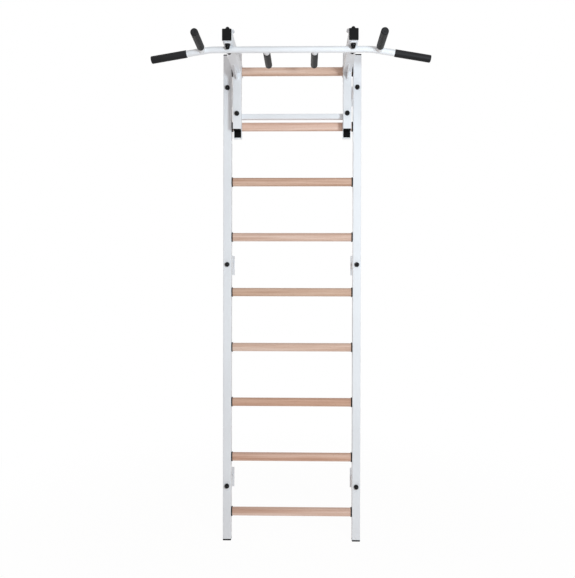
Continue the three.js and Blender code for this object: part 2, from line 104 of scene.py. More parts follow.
# %% Board and Field
class Field:
    """An output of a node that takes part in sums."""

    def __init__(self, board, node, output):
        self.board = board
        self.node = node
        self.socket = node.outputs[output]

    def out(self, output):
        return Field(self.board, self.node, output)

    def _sum(self, operation, first, second):
        return self.board.node("ShaderNodeMath", {"operation": operation}, {0: first, 1: second})

    def __add__(self, other):
        return self._sum("ADD", self, other)

    def __radd__(self, other):
        return self._sum("ADD", other, self)

    def __sub__(self, other):
        return self._sum("SUBTRACT", self, other)

    def __rsub__(self, other):
        return self._sum("SUBTRACT", other, self)

    def __mul__(self, other):
        return self._sum("MULTIPLY", self, other)

    def __rmul__(self, other):
        return self._sum("MULTIPLY", other, self)


class Board:
    """A node tree, with one way to add a node to it."""

    def __init__(self, tree):
        self.tree = tree

    def node(self, kind, settings=None, values=None, output=0):
        made = self.tree.nodes.new(kind)
        for name, value in (settings or {}).items():
            if name == "stops":
                self._stops(made.color_ramp, value)
            else:
                setattr(made, name, value)
        self.feed(made, values or {})
        return Field(self, made, output) if len(made.outputs) else made

    def feed(self, node, values):
        for name, value in values.items():
            if isinstance(value, Field):
                self.tree.links.new(value.socket, node.inputs[name])
            else:
                node.inputs[name].default_value = value

    def _stops(self, ramp, stops):
        while len(ramp.elements) < len(stops):
            ramp.elements.new(1)
        for element, (place, colour) in zip(ramp.elements, stops):
            element.position = place
            element.color = (*colour, 1)

    def blend(self, factor, first, second):
        """A colour between two colours."""
        ends = {6: first, 7: second}
        ends = {key: end if isinstance(end, Field) else (*end, 1) for key, end in ends.items()}
        return self.node("ShaderNodeMix", {"data_type": "RGBA"}, {0: factor, **ends}, 2)

    def fade(self, value, low, high):
        """0 below low and 1 above high, with a soft step between."""
        ends = {"Value": value, 1: low, 2: high}
        return self.node("ShaderNodeMapRange", {"interpolation_type": "SMOOTHSTEP"}, ends)


print("board ready")

# %% [markdown]
# ## Floor, background and light
# A studio picture on white. A bright floor could be lit until it burns out, but that would bleach the white
# steel too. Here the floor and the world turn white only for the rays that see them directly, and the object
# gets plain light: a low lamp to the right of the camera, a wide weak one above it and another behind the
# bars, an even glow around, and a little light back from the floor, which brightens the undersides.

# %% World and floor
scene = bpy.context.scene
scene.view_settings.view_transform = "Standard"


def seen_directly(board):
    path = board.node("ShaderNodeLightPath")
    return path + path.out("Is Glossy Ray") + path.out("Is Transmission Ray")


world = bpy.data.worlds.new("studio")
world.use_nodes = True
scene.world = world
room = Board(world.node_tree)
glow = room.node("ShaderNodeBackground", {}, {"Color": (1.0, 0.89, 0.83, 1), "Strength": 0.29})
white = room.node("ShaderNodeBackground", {}, {"Color": (1, 1, 1, 1), "Strength": 1.0})
backdrop = room.node("ShaderNodeMixShader", {}, {0: seen_directly(room), 1: glow, 2: white})
room.feed(world.node_tree.nodes["World Output"], {"Surface": backdrop})

floor_mesh = bpy.data.meshes.new("floor")
reach = 6.0
corners = [(-reach, -reach, 0), (reach, -reach, 0), (reach, reach, 0), (-reach, reach, 0)]
floor_mesh.from_pydata([Vector(corner) - Vector((0, 0, 0.4 * MM)) for corner in corners], [], [(0, 1, 2, 3)])
floor = bpy.data.objects.new("floor", floor_mesh)
scene.collection.objects.link(floor)

floor_finish = bpy.data.materials.new("pale_floor")
floor_finish.use_nodes = True
ground = Board(floor_finish.node_tree)
spot = ground.node("ShaderNodeTexCoord", output="Object")
distance = ground.node("ShaderNodeVectorMath", {"operation": "LENGTH"}, {0: spot}, "Value")
whiteness = 0.96 + 0.04 * ground.fade(distance, 0.5, 2.4)
pale = ground.node("ShaderNodeBsdfDiffuse", {}, {"Color": (0.8, 0.8, 0.8, 1)})
lit = ground.node("ShaderNodeEmission", {}, {"Color": (1, 0.92, 0.87, 1), "Strength": 0.28})
pale = ground.node("ShaderNodeAddShader", {}, {0: pale, 1: lit})
bright = ground.node("ShaderNodeEmission", {}, {"Color": (1, 1, 1, 1), "Strength": 1.0})
surface = ground.node("ShaderNodeMixShader", {}, {0: seen_directly(ground) * whiteness, 1: pale, 2: bright})
ground.feed(floor_finish.node_tree.nodes["Material Output"], {"Surface": surface})
floor_mesh.materials.append(floor_finish)
print("floor and world are white for direct rays only")


# %% Lamps
def soft_lamp(name, place, aim, size, power, colour):
    data = bpy.data.lights.new(name, "AREA")
    data.shape = "RECTANGLE"
    data.size, data.size_y = size
    data.energy = power
    data.color = colour
    lamp = bpy.data.objects.new(name, data)
    lamp.location = place
    lamp.rotation_euler = (Vector(aim) - Vector(place)).to_track_quat("-Z", "Y").to_euler()
    scene.collection.objects.link(lamp)


soft_lamp("key_right", (1.3, -2.8, 1.5), (0, -0.2, 2.1), (0.4, 0.4), 42, (0.83, 0.94, 1.0))
soft_lamp("front_soft", (0.6, -3.9, 3.4), (0, -0.3, 1.9), (2.6, 1.6), 34, (0.93, 0.98, 1.0))
soft_lamp("back_soft", (-0.9, 3.4, 2.4), (0, 0, 1.4), (2.4, 2.0), 20, (1.0, 0.97, 0.94))


# %% [markdown]
# ## Finishes
# Every finish is a Principled shader with its pattern on Object coordinates, so the scale of a grain is in
# real metres. What is the same all over is set on the shader itself, and nodes feed only colour, roughness
# and bumps.

# %% A finish to start from
def new_finish(name, constants):
    material = bpy.data.materials.new(name)
    material.use_nodes = True
    board = Board(material.node_tree)
    shader = material.node_tree.nodes["Principled BSDF"]
    board.feed(shader, constants)
    place = board.node("ShaderNodeTexCoord", output="Object")
    return material, board, shader, place


def noise(board, place, scale, detail=2.0, roughness=0.5):
    values = {"Vector": place, "Scale": scale, "Detail": detail, "Roughness": roughness}
    return board.node("ShaderNodeTexNoise", {}, values)


def stretched(board, place, scale):
    return board.node("ShaderNodeMapping", {}, {"Vector": place, "Scale": scale})


def bump(board, height, strength, depth):
    return board.node("ShaderNodeBump", {}, {"Strength": strength, "Distance": depth, "Height": height})


# %% [markdown]
# ### White powder coat
# Powder paint melts into a film with a faint orange peel of two or three millimetres. A smooth white would
# look like paper, so a low bump breaks the reflections up, and slow clouds shift the white by a hair.

# %% White powder coat
WHITE_COAT, board, shader, place = new_finish("white_powder_coat", {"IOR": 1.5, "Specular IOR Level": 0.45})
clouds = noise(board, place, 3.0, 3.0)
peel = noise(board, place, 380.0, 1.5)
speck = noise(board, place, 1500.0, 1.0)
board.feed(
    shader,
    {
        "Base Color": board.blend(board.fade(clouds, 0.3, 0.7), (0.79, 0.81, 0.845), (0.835, 0.856, 0.89)),
        "Roughness": 0.34 + 0.1 * clouds + 0.06 * speck,
        "Normal": bump(board, peel + 0.25 * speck, 0.12, 0.15 * MM),
    },
)
print(WHITE_COAT.name)

# %% [markdown]
# ### Beech
# Steamed beech is pinkish tan with straight streaks along the rung and short brown flecks, the rays of the
# wood. A wave pattern would give bold pine rings; noise that is stretched along the rung gives the fine
# streaks of beech. Each rung has its own number, stored by its nodes below, which shifts its grain and makes
# some rungs browner and some redder.

# %% Beech
BEECH, board, shader, place = new_finish("oiled_beech", {"IOR": 1.47, "Specular IOR Level": 0.35})
plank = board.node("ShaderNodeAttribute", {"attribute_name": "plank"}, output="Fac")
own = board.node("ShaderNodeCombineXYZ", {}, {"X": 13.0 * plank, "Y": 2.0 * plank, "Z": 5.0 * plank})
moved = board.node("ShaderNodeVectorMath", {"operation": "ADD"}, {0: place, 1: own})
layers = noise(board, stretched(board, moved, (1.1, 62, 62)), 1.0, 3.0, 0.55)
streaks = noise(board, stretched(board, moved, (3.5, 260, 260)), 1.0, 3.0, 0.6)
pores = noise(board, stretched(board, moved, (34, 1500, 1500)), 1.0, 1.0)
rays = noise(board, stretched(board, moved, (120, 720, 720)), 1.0, 1.5)
flecks = board.fade(rays, 0.62, 0.74)
tone = 0.6 * layers + 0.4 * streaks
wood = board.node(
    "ShaderNodeValToRGB",
    {"stops": [(0.36, (0.57, 0.365, 0.277)), (0.5, (0.75, 0.546, 0.45)), (0.62, (0.844, 0.672, 0.588))]},
    {"Fac": tone},
)
ruddy = board.node("ShaderNodeMath", {"operation": "FRACT"}, {0: 3.2 * plank})
for share, tint in ((plank, (0.84, 0.78, 0.7, 1)), (ruddy, (1.0, 0.915, 0.89, 1))):
    product = {"data_type": "RGBA", "blend_type": "MULTIPLY"}
    wood = board.node("ShaderNodeMix", product, {0: share, 6: wood, 7: tint}, 2)
fleck_tint = board.blend(0.5 * flecks, wood, (0.36, 0.2, 0.125))
board.feed(
    shader,
    {
        "Base Color": fleck_tint,
        "Roughness": 0.42 + 0.2 * streaks + 0.08 * pores,
        "Normal": bump(board, 0.6 * pores + 0.4 * streaks - 0.3 * flecks, 0.25, 0.12 * MM),
    },
)
print(BEECH.name)

# %% [markdown]
# ### Black plastic, rubber and bolts
# Four blacks that differ in gloss and grain: ferrules and end caps are moulded with a fine spark grain, the
# shoes are dull rubber, the grips have a pebbled skin, and the bolts are smooth enough for a small highlight.

# %% Black finishes
def black_finish(name, colours, gloss, grain, roughness, depth):
    material, board, shader, place = new_finish(name, {"IOR": 1.5, "Specular IOR Level": gloss})
    patches = noise(board, place, 14.0, 2.0)
    skin = noise(board, place, grain, 2.0, 0.6)
    low, high = roughness
    board.feed(
        shader,
        {
            "Base Color": board.blend(board.fade(patches, 0.3, 0.7), *colours),
            "Roughness": low + (high - low) * (0.4 * patches + 0.6 * skin),
            "Normal": bump(board, skin, 0.35, depth),
        },
    )
    print(name)
    return material


PLASTIC = black_finish(
    "black_plastic", ((0.004, 0.004, 0.0045), (0.007, 0.0068, 0.007)), 0.09, 900.0, (0.4, 0.62), 0.08 * MM
)
RUBBER = black_finish(
    "black_rubber", ((0.003, 0.003, 0.0035), (0.005, 0.005, 0.0055)), 0.1, 500.0, (0.65, 0.9), 0.12 * MM
)
GRIP = black_finish(
    "grip_rubber", ((0.008, 0.008, 0.009), (0.0135, 0.0135, 0.0148)), 0.2, 420.0, (0.42, 0.66), 0.25 * MM
)
BOLT = black_finish(
    "black_bolt", ((0.002, 0.002, 0.0025), (0.004, 0.004, 0.0045)), 0.15, 220.0, (0.08, 0.16), 0.02 * MM
)


# %% [markdown]
# ## Workshop helpers
# Each piece goes through the same few steps: make a mesh, turn its faces outwards, smooth what is round while
# flats stay flat, then hang it on its body and say which solids it stands for.

# %% Meshes and objects
def placed_object(name, mesh):
    made = bpy.data.objects.new(name, mesh)
    scene.collection.objects.link(made)
    return made


def applied(made):
    """Keeps what the modifiers made as a plain mesh."""
    graph = bpy.context.evaluated_depsgraph_get()
    made_now = made.evaluated_get(graph)
    mesh = bpy.data.meshes.new_from_object(made_now, preserve_all_data_layers=True, depsgraph=graph)
    made.modifiers.clear()
    made.data = mesh
    return made


def face_outwards(mesh):
    solid = bmesh.new()
    solid.from_mesh(mesh)
    bmesh.ops.recalc_face_normals(solid, faces=solid.faces)
    solid.to_mesh(mesh)
    solid.free()


def fitted(made, body, slot, *nodes, sharp=32):
    """Shades a piece evenly, hangs it on its body and puts it in place of its solids."""
    face_outwards(made.data)
    made.data.shade_smooth()
    made.data.set_sharp_from_angle(angle=math.radians(sharp))
    even = made.modifiers.new("even_shading", "WEIGHTED_NORMAL")
    even.keep_sharp = True
    applied(made)
    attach(made, body)
    if nodes:
        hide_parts(*nodes)
    made.data.calc_loop_triangles()
    print(f"{made.name}: {len(made.data.loop_triangles)} triangles for {len(nodes)} solids")
    return made


# %% [markdown]
# Node trees that grow geometry are built the same way as finishes. Their sizes are named inputs, set by each
# socket's identifier before the tree first runs, and every tree ends in real faces with a finish on them.

# %% Growing geometry from nodes
def new_tree(name, inputs):
    tree = bpy.data.node_groups.new(name, "GeometryNodeTree")
    tree.interface.new_socket("Geometry", in_out="OUTPUT", socket_type="NodeSocketGeometry")
    for label, kind in inputs.items():
        tree.interface.new_socket(label, in_out="INPUT", socket_type=f"NodeSocket{kind}")
    board = Board(tree)
    entry = board.node("NodeGroupInput")
    return board, {label: entry.out(label) for label in inputs}


def close_tree(board, geometry, finish):
    real = board.node("GeometryNodeRealizeInstances", {}, {"Geometry": geometry})
    dressed = board.node("GeometryNodeSetMaterial", {}, {"Geometry": real, "Material": finish})
    board.node("NodeGroupOutput", {}, {"Geometry": dressed})
    return board.tree


def grown(name, tree, mesh=None, **sizes):
    made = placed_object(name, mesh or bpy.data.meshes.new(name))
    modifier = made.modifiers.new(name, "NODES")
    modifier.node_group = tree
    for socket in tree.interface.items_tree:
        key = socket.name.lower().replace(" ", "_")
        if socket.in_out == "INPUT" and key in sizes:
            modifier[socket.identifier] = sizes.pop(key)
    assert not sizes, f"{name} has no input for {sorted(sizes)}"
    return applied(made)


def wire(name, *paths):
    """Points joined by edges, one chain for each path."""
    points, edges = [], []
    for path in paths:
        start = len(points)
        points += [Vector(point) for point in path]
        edges += [(step, step + 1) for step in range(start, len(points) - 1)]
    mesh = bpy.data.meshes.new(name)
    mesh.from_pydata(points, edges, [])
    return mesh


# %% [markdown]
# ## Rungs
# A rung is a beech bar with well rounded edges, and all nine are alike. They could be modelled once and
# duplicated by hand; a node tree draws the outline, sweeps it along the rung, sets it out at the pitch that
# was measured and gives each copy its own plank number.

# %% Tree: a ladder of rungs
board, put = new_tree(
    "rung_ladder",
    {
        "Count": "Int", "Pitch": "Float", "First Place": "Vector", "Length": "Float",
        "Depth": "Float", "Height": "Float", "Corner": "Float", "Seed": "Int", "Finish": "Material",
    },
)
outline = board.node(
    "GeometryNodeCurvePrimitiveQuadrilateral", {}, {"Width": put["Depth"], "Height": put["Height"]}
)
outline = board.node(
    "GeometryNodeFilletCurve", {"mode": "POLY"}, {"Curve": outline, "Count": 9, "Radius": put["Corner"]}
)
end = board.node("ShaderNodeCombineXYZ", {}, {"X": 0.5 * put["Length"]})
start = board.node("ShaderNodeCombineXYZ", {}, {"X": -0.5 * put["Length"]})
line = board.node("GeometryNodeCurvePrimitiveLine", {}, {"Start": start, "End": end})
line = board.node("GeometryNodeSetCurveNormal", {"mode": "Z_UP"}, {"Curve": line})
bar = board.node("GeometryNodeCurveToMesh", {}, {"Curve": line, "Profile Curve": outline, "Fill Caps": True})
rise = board.node("ShaderNodeCombineXYZ", {}, {"Z": put["Pitch"]})
places = board.node(
    "GeometryNodeMeshLine", {}, {"Count": put["Count"], "Start Location": put["First Place"], "Offset": rise}
)
bars = board.node("GeometryNodeInstanceOnPoints", {}, {"Points": places, "Instance": bar})
number = board.node("FunctionNodeRandomValue", {}, {"Seed": put["Seed"]}, 1)
bars = board.node(
    "GeometryNodeStoreNamedAttribute",
    {"domain": "INSTANCE"},
    {"Geometry": bars, "Name": "plank", "Value": number},
)
RUNG_LADDER = close_tree(board, bars, put["Finish"])
print(RUNG_LADDER.name, len(RUNG_LADDER.nodes), "nodes")

# %% Rungs
RUNG_CORNER = 12 * MM
rungs = grown(
    "rungs",
    RUNG_LADDER,
    count=len(RUNG_NUMBERS),
    pitch=RUNG_PITCH,
    first_place=RUNG[1][2],
    length=RUNG[1][3].x,
    depth=RUNG[1][3].y,
    height=RUNG[1][3].z,
    corner=RUNG_CORNER,
    seed=2031,
    finish=BEECH,
)
fitted(rungs, "wall_bars", "beech", *[f"rung_{number}" for number in RUNG_NUMBERS], sharp=50)

# %% [markdown]
# ## Ferrules
# Where a rung enters an upright, a black ring covers the edge of the hole. The ring's outline is the rung's
# own, a little larger, so one tree draws that outline and sweeps a small rounded section round it.

# %% Tree: rings round the rungs' ends
board, put = new_tree(
    "ferrule_rings",
    {
        "Geometry": "Geometry", "Width": "Float", "Height": "Float", "Corner": "Float",
        "Rim": "Float", "Thickness": "Float", "Edge": "Float", "Finish": "Material",
    },
)
path = board.node(
    "GeometryNodeCurvePrimitiveQuadrilateral",
    {},
    {"Width": put["Width"] - put["Rim"], "Height": put["Height"] - put["Rim"]},
)
path = board.node(
    "GeometryNodeFilletCurve",
    {"mode": "POLY"},
    {"Curve": path, "Count": 9, "Radius": put["Corner"] - 0.5 * put["Rim"]},
)
path = board.node("GeometryNodeSetCurveNormal", {"mode": "Z_UP"}, {"Curve": path})
section = board.node(
    "GeometryNodeCurvePrimitiveQuadrilateral", {}, {"Width": put["Rim"], "Height": put["Thickness"]}
)
section = board.node(
    "GeometryNodeFilletCurve", {"mode": "POLY"}, {"Curve": section, "Count": 4, "Radius": put["Edge"]}
)
ring = board.node("GeometryNodeCurveToMesh", {}, {"Curve": path, "Profile Curve": section})
ring = board.node("GeometryNodeTransform", {}, {"Geometry": ring, "Rotation": (math.pi / 2, 0, math.pi / 2)})
rings = board.node("GeometryNodeInstanceOnPoints", {}, {"Points": put["Geometry"], "Instance": ring})
FERRULE_RINGS = close_tree(board, rings, put["Finish"])
print(FERRULE_RINGS.name, len(FERRULE_RINGS.nodes), "nodes")

# %% Ferrules
ferrule_low, ferrule_high, _, ferrule_size = span("ferrule_1_left")
COLLAR = ferrule_high.x - UPRIGHT["left"][1].x
FERRULE_RIM = (ferrule_size.y - RUNG[1][3].y) / 2
ring_places = []
for number in RUNG_NUMBERS:
    height = RUNG[number][2].z
    inner = UPRIGHT["left"][1].x + COLLAR / 2
    ring_places += [(-inner, RUNG[1][2].y, height), (inner, RUNG[1][2].y, height)]
ferrules = grown(
    "ferrules",
    FERRULE_RINGS,
    wire("ferrule_places", *[[point] for point in ring_places]),
    width=ferrule_size.y,
    height=ferrule_size.z,
    corner=RUNG_CORNER + FERRULE_RIM,
    rim=FERRULE_RIM - 0.2 * MM,
    thickness=COLLAR,
    edge=1.1 * MM,
    finish=PLASTIC,
)
fitted(
    ferrules, "wall_bars", "black_plastic",
    *[f"ferrule_{number}_{side}" for number in RUNG_NUMBERS for side in SIDES],
)

# %% [markdown]
# ## Square tubes
# Uprights, members, arms and the brackets' stand-offs are all cold-formed square tube: flat sides and corners
# of about 3 mm. One tree draws that section along any path, and a path of two points gives a straight tube.

# %% Tree: square tube along a path
board, put = new_tree(
    "square_tube",
    {"Geometry": "Geometry", "Width": "Float", "Height": "Float", "Corner": "Float", "Finish": "Material"},
)
path = board.node("GeometryNodeMeshToCurve", {}, {"Mesh": put["Geometry"]})
path = board.node("GeometryNodeSetCurveNormal", {"mode": "Z_UP"}, {"Curve": path})
section = board.node(
    "GeometryNodeCurvePrimitiveQuadrilateral", {}, {"Width": put["Width"], "Height": put["Height"]}
)
section = board.node(
    "GeometryNodeFilletCurve", {"mode": "POLY"}, {"Curve": section, "Count": 5, "Radius": put["Corner"]}
)
tube = board.node("GeometryNodeCurveToMesh", {}, {"Curve": path, "Profile Curve": section, "Fill Caps": True})
SQUARE_TUBE = close_tree(board, tube, put["Finish"])
TUBE_CORNER = 3 * MM
print(SQUARE_TUBE.name)


# %% Uprights
def upright_path(side):
    low, high, middle, _ = UPRIGHT[side]
    return [(middle.x, middle.y, low.z), (middle.x, middle.y, high.z)]


uprights = grown(
    "uprights",
    SQUARE_TUBE,
    wire("upright_paths", *[upright_path(side) for side in SIDES]),
    width=UPRIGHT_SIDE,
    height=UPRIGHT_SIDE,
    corner=TUBE_CORNER,
    finish=WHITE_COAT,
)
fitted(uprights, "wall_bars", "white_steel", "upright_left", "upright_right")

# %% [markdown]
# ## Plates and turned shapes
# Brackets, gussets and caps are cut from flat stock, and bolts and grips are turned. A plate here is an
# outline with holes that is pulled up to its thickness, with a small bevel so that its edges catch light. A
# turned shape is half an outline spun about its axis. Shapes that belong together are joined into one mesh.


# %% Plates
def kept(solid, name):
    bmesh.ops.remove_doubles(solid, verts=solid.verts, dist=0.002 * MM)
    bmesh.ops.recalc_face_normals(solid, faces=solid.faces)
    mesh = bpy.data.meshes.new(name)
    solid.to_mesh(mesh)
    solid.free()
    return mesh


def plate(outline, thickness, edge, *holes):
    """A plate in X and Y with its middle at z = 0."""
    solid = bmesh.new()
    rims = []
    for ring in (outline, *holes):
        points = [solid.verts.new((x, y, -thickness / 2)) for x, y in ring]
        rims += [solid.edges.new((points[step - 1], point)) for step, point in enumerate(points)]
    filled = bmesh.ops.triangle_fill(solid, use_beauty=True, use_dissolve=True, edges=rims)["geom"]
    faces = [item for item in filled if isinstance(item, bmesh.types.BMFace)]
    pulled = bmesh.ops.extrude_face_region(solid, geom=faces)["geom"]
    top = [item for item in pulled if isinstance(item, bmesh.types.BMVert)]
    bmesh.ops.translate(solid, verts=top, vec=(0, 0, thickness))
    bmesh.ops.recalc_face_normals(solid, faces=solid.faces)
    sharp = [side for side in solid.edges if side.calc_face_angle(0) > math.radians(40)]
    bmesh.ops.bevel(
        solid, geom=sharp, offset=edge, offset_type="OFFSET", segments=2, profile=0.5, affect="EDGES"
    )
    return kept(solid, "plate")


def arc(middle, radius, start, end, steps):
    turns = [math.radians(start + (end - start) * step / steps) for step in range(steps + 1)]
    return [(middle[0] + radius * math.cos(turn), middle[1] + radius * math.sin(turn)) for turn in turns]


def rounded_ring(width, height, corner, steps=5):
    x, y = width / 2 - corner, height / 2 - corner
    quarters = zip(((x, y), (-x, y), (-x, -y), (x, -y)), (0, 90, 180, 270))
    return [point for middle, turn in quarters for point in arc(middle, corner, turn, turn + 90, steps)]


def round_hole(middle, diameter, steps=28):
    return arc(middle, diameter / 2, 0, 360, steps)[:-1]


# %% Turned shapes and joining
def turned(outline, steps=36):
    """An outline of radius and height, spun about Z."""
    solid = bmesh.new()
    points = [solid.verts.new((radius, 0, height)) for radius, height in outline]
    lines = [solid.edges.new(pair) for pair in zip(points, points[1:])]
    about = {"cent": (0, 0, 0), "axis": (0, 0, 1), "angle": 2 * math.pi}
    bmesh.ops.spin(solid, geom=points + lines, steps=steps, use_merge=True, **about)
    return kept(solid, "turned")


LYING = Matrix.Rotation(math.pi / 2, 4, "X")  # a plate's Y turns up to Z
ON_EDGE = Matrix.Rotation(math.pi / 2, 4, "Z") @ LYING  # a plate's X runs along Y and its Y goes up


def shift(x=0.0, y=0.0, z=0.0):
    return Matrix.Translation((x, y, z))


def joined(name, *shapes):
    """One mesh of shapes, each with the matrix that places it."""
    whole = bmesh.new()
    for mesh, place in shapes:
        mesh.transform(place)
        whole.from_mesh(mesh)
        bpy.data.meshes.remove(mesh)
    mesh = bpy.data.meshes.new(name)
    whole.to_mesh(mesh)
    whole.free()
    return mesh


# %% [markdown]
# ## Setting out copies
# Caps, bolts, brackets and side frames occur two to six times. This tree puts a copy of a pattern on each
# point and turns it the way that point asks for, which keeps the copies identical and the script short.

# %% Tree: copies on points
board, put = new_tree("set_out", {"Geometry": "Geometry", "Pattern": "Object", "Finish": "Material"})
pattern = board.node("GeometryNodeObjectInfo", {}, {"Object": put["Pattern"]}, "Geometry")
turns = board.node("GeometryNodeInputNamedAttribute", {"data_type": "FLOAT_VECTOR"}, {"Name": "turn"})
turns = board.node("FunctionNodeEulerToRotation", {}, {"Euler": turns})
copies = board.node(
    "GeometryNodeInstanceOnPoints", {}, {"Points": put["Geometry"], "Instance": pattern, "Rotation": turns}
)
copies = board.node("GeometryNodeRemoveAttribute", {}, {"Geometry": copies, "Name": "turn"})
SET_OUT = close_tree(board, copies, put["Finish"])
UP = Vector((0, 0, 1))
DOWN = -UP
FORWARD = Vector((0, -1, 0))
BACKWARD = -FORWARD


def repeated(name, shape, places, finish):
    """A copy of a shape on each place, with its +Z turned to the place's aim."""
    points = wire(f"{name}_places", *[[place] for place, _ in places])
    aims = points.attributes.new("turn", "FLOAT_VECTOR", "POINT")
    for item, (_, aim) in zip(aims.data, places):
        item.vector = UP.rotation_difference(aim).to_euler()
    pattern = placed_object(f"{name}_pattern", shape)
    made = grown(name, SET_OUT, points, pattern=pattern, finish=finish)
    bpy.data.objects.remove(pattern)
    return made


print(SET_OUT.name)

# %% [markdown]
# ## End caps of the uprights
# Each tube is closed by a black moulded cap, a lower one that the bars stand on and a thinner one on top. The
# plug is out of sight inside the tube, so the rim is what is made, with a soft edge all round.

# %% Upright caps
def cap_rims(name, kind, aim):
    low, high, middle, size = span(f"{kind}_left")
    rim = abs((UPRIGHT["left"][1].z - high.z) if aim == UP else (UPRIGHT["left"][0].z - low.z))
    shape = joined(
        name,
        (plate(rounded_ring(size.x, size.y, TUBE_CORNER), rim, 1.1 * MM), shift(z=rim / 2)),
    )
    base = UPRIGHT["left"][1].z if aim == UP else UPRIGHT["left"][0].z
    places = [(Vector((UPRIGHT[side][2].x, UPRIGHT[side][2].y, base)), aim) for side in SIDES]
    made = repeated(name, shape, places, PLASTIC)
    return fitted(made, "wall_bars", "black_plastic", *[f"{kind}_{side}" for side in SIDES])


cap_rims("top_caps", "top_cap", UP)
cap_rims("foot_caps", "foot_cap", DOWN)

# %% [markdown]
# ## Wall brackets
# Six welded brackets hold the uprights off the wall: a wall plate with two screw holes, a stand-off of square
# tube and a front plate that the upright is bolted to. One bracket is joined from plates and a tube, then
# set out at the six places.

# %% Tubes as bare meshes
def bare_mesh(made):
    mesh = made.data
    bpy.data.objects.remove(made)
    return mesh


def straight_tube(start, end, width, height):
    path = wire("tube_path", [start, end])
    return bare_mesh(
        grown("tube", SQUARE_TUBE, path, width=width, height=height, corner=TUBE_CORNER, finish=WHITE_COAT)
    )


# %% Wall brackets
PLATE_THICKNESS = 4 * MM
STANDOFF_SIDE = 30 * MM
FRONT_PLATE_HEIGHT = 60 * MM
SCREW_HOLE = 9 * MM
SCREW_SPACING = 70 * MM
PLATE_CORNER = 2 * MM
BRACKETS = [f"wall_bracket_{level}_{side}" for level in LEVELS for side in SIDES]
bracket_low, bracket_high, _, bracket_size = span(BRACKETS[0])
front_face = bracket_low.y
screw_holes = [round_hole((0, way * SCREW_SPACING / 2), SCREW_HOLE) for way in (-1, 1)]
wall_plate = plate(
    rounded_ring(bracket_size.x, bracket_size.z, PLATE_CORNER), PLATE_THICKNESS, 0.6 * MM, *screw_holes
)
front_plate = plate(rounded_ring(bracket_size.x, FRONT_PLATE_HEIGHT, PLATE_CORNER), PLATE_THICKNESS, 0.6 * MM)
standoff_ends = [(0, front_face + PLATE_THICKNESS / 2, 0), (0, -PLATE_THICKNESS / 2, 0)]
standoff = straight_tube(*standoff_ends, STANDOFF_SIDE, STANDOFF_SIDE)
bracket = joined(
    "bracket",
    (wall_plate, shift(y=-PLATE_THICKNESS / 2) @ LYING),
    (front_plate, shift(y=front_face + PLATE_THICKNESS / 2) @ LYING),
    (standoff, shift()),
)
bracket_places = [(Vector((span(node)[2].x, 0, span(node)[2].z)), UP) for node in BRACKETS]
wall_brackets = repeated("wall_brackets", bracket, bracket_places, WHITE_COAT)
fitted(wall_brackets, "wall_bars", "white_steel", *BRACKETS)

# %% [markdown]
# ## Bolts
# Every bolt ends in a black domed cap. A dome is a turned outline: a short straight rim, then a quarter of an
# ellipse up to its top. The bracket bolts run through the upright, so theirs keeps its shank.

# %% Dome outlines and bracket bolts
def dome(diameter, rim, height, steps=9):
    """From the rim's foot to the top of the dome."""
    turns = [math.pi / 2 * step / steps for step in range(steps + 1)]
    crown = [(diameter / 2 * math.cos(turn), rim + (height - rim) * math.sin(turn)) for turn in turns]
    return [(diameter / 2 - 0.4 * MM, 0), (diameter / 2, 0.4 * MM), *crown[:-1], (0, height)]


BOLT_DIAMETER = 8 * MM
BOLTS = [f"bracket_bolt_{level}_{side}" for level in LEVELS for side in SIDES]
bolt_low, bolt_high, _, bolt_size = span(BOLTS[0])
head = UPRIGHT_FRONT - bolt_low.y
shank = bolt_high.y - UPRIGHT_FRONT
shank_outline = [(0, -shank), (BOLT_DIAMETER / 2 - 1 * MM, -shank), (BOLT_DIAMETER / 2, 1 * MM - shank)]
bolt = turned([*shank_outline, (BOLT_DIAMETER / 2, 0), *dome(bolt_size.x, 2 * MM, head)])
bolt_places = [(Vector((span(node)[2].x, UPRIGHT_FRONT, span(node)[2].z)), FORWARD) for node in BOLTS]
bracket_bolts = repeated("bracket_bolts", bolt, bolt_places, BOLT)
fitted(bracket_bolts, "wall_bars", "black_bolt", *BOLTS, sharp=40)

# %% [markdown]
# ## Side frames
# The pull-up frame has two welded sides: an upright member with a lid, an arm that reaches forward, a gusset
# in the corner between them, a strap that hooks over the top rung, a tray for the rubber shoe, and a saddle
# where the bar is bolted through. All but the saddles are joined as one mesh about x = 0, then set out left
# and right; the saddles are set out on their own.

# %% Places on a side frame
MEMBER_SIDE = 40 * MM
ARM_HEIGHT = 50 * MM
SADDLE_THICKNESS = 5 * MM
HANGER_THICKNESS = 5 * MM
HANGER_SEAT = 1.5 * MM
frame_low, frame_high, _, _ = span("side_frame_left")
FRAME_X = abs(span("arm_cap_left")[2].x)
TOP_RUNG = RUNG[9][2]
arm_front = frame_low.y
arm_top = TOP_RUNG.z + 22 * MM
arm_bottom = arm_top - ARM_HEIGHT
member_back = TOP_RUNG.y - RUNG[9][3].y / 2 - 16 * MM
member_front = member_back - MEMBER_SIDE
member_end = RUNG[8][2].z - 26 * MM
member_top = frame_high.z
bar_low, bar_high, _, bar_size = span("pull_up_bar")
BAR_DIAMETER = 27 * MM
bar_y = arm_front + 54 * MM
hanger_top = bar_high.z
bar_z = hanger_top - HANGER_THICKNESS + HANGER_SEAT - BAR_DIAMETER / 2
print(f"arm {arm_bottom:.3f} to {arm_top:.3f} m high, bar at y {bar_y:.3f}, z {bar_z:.3f}")


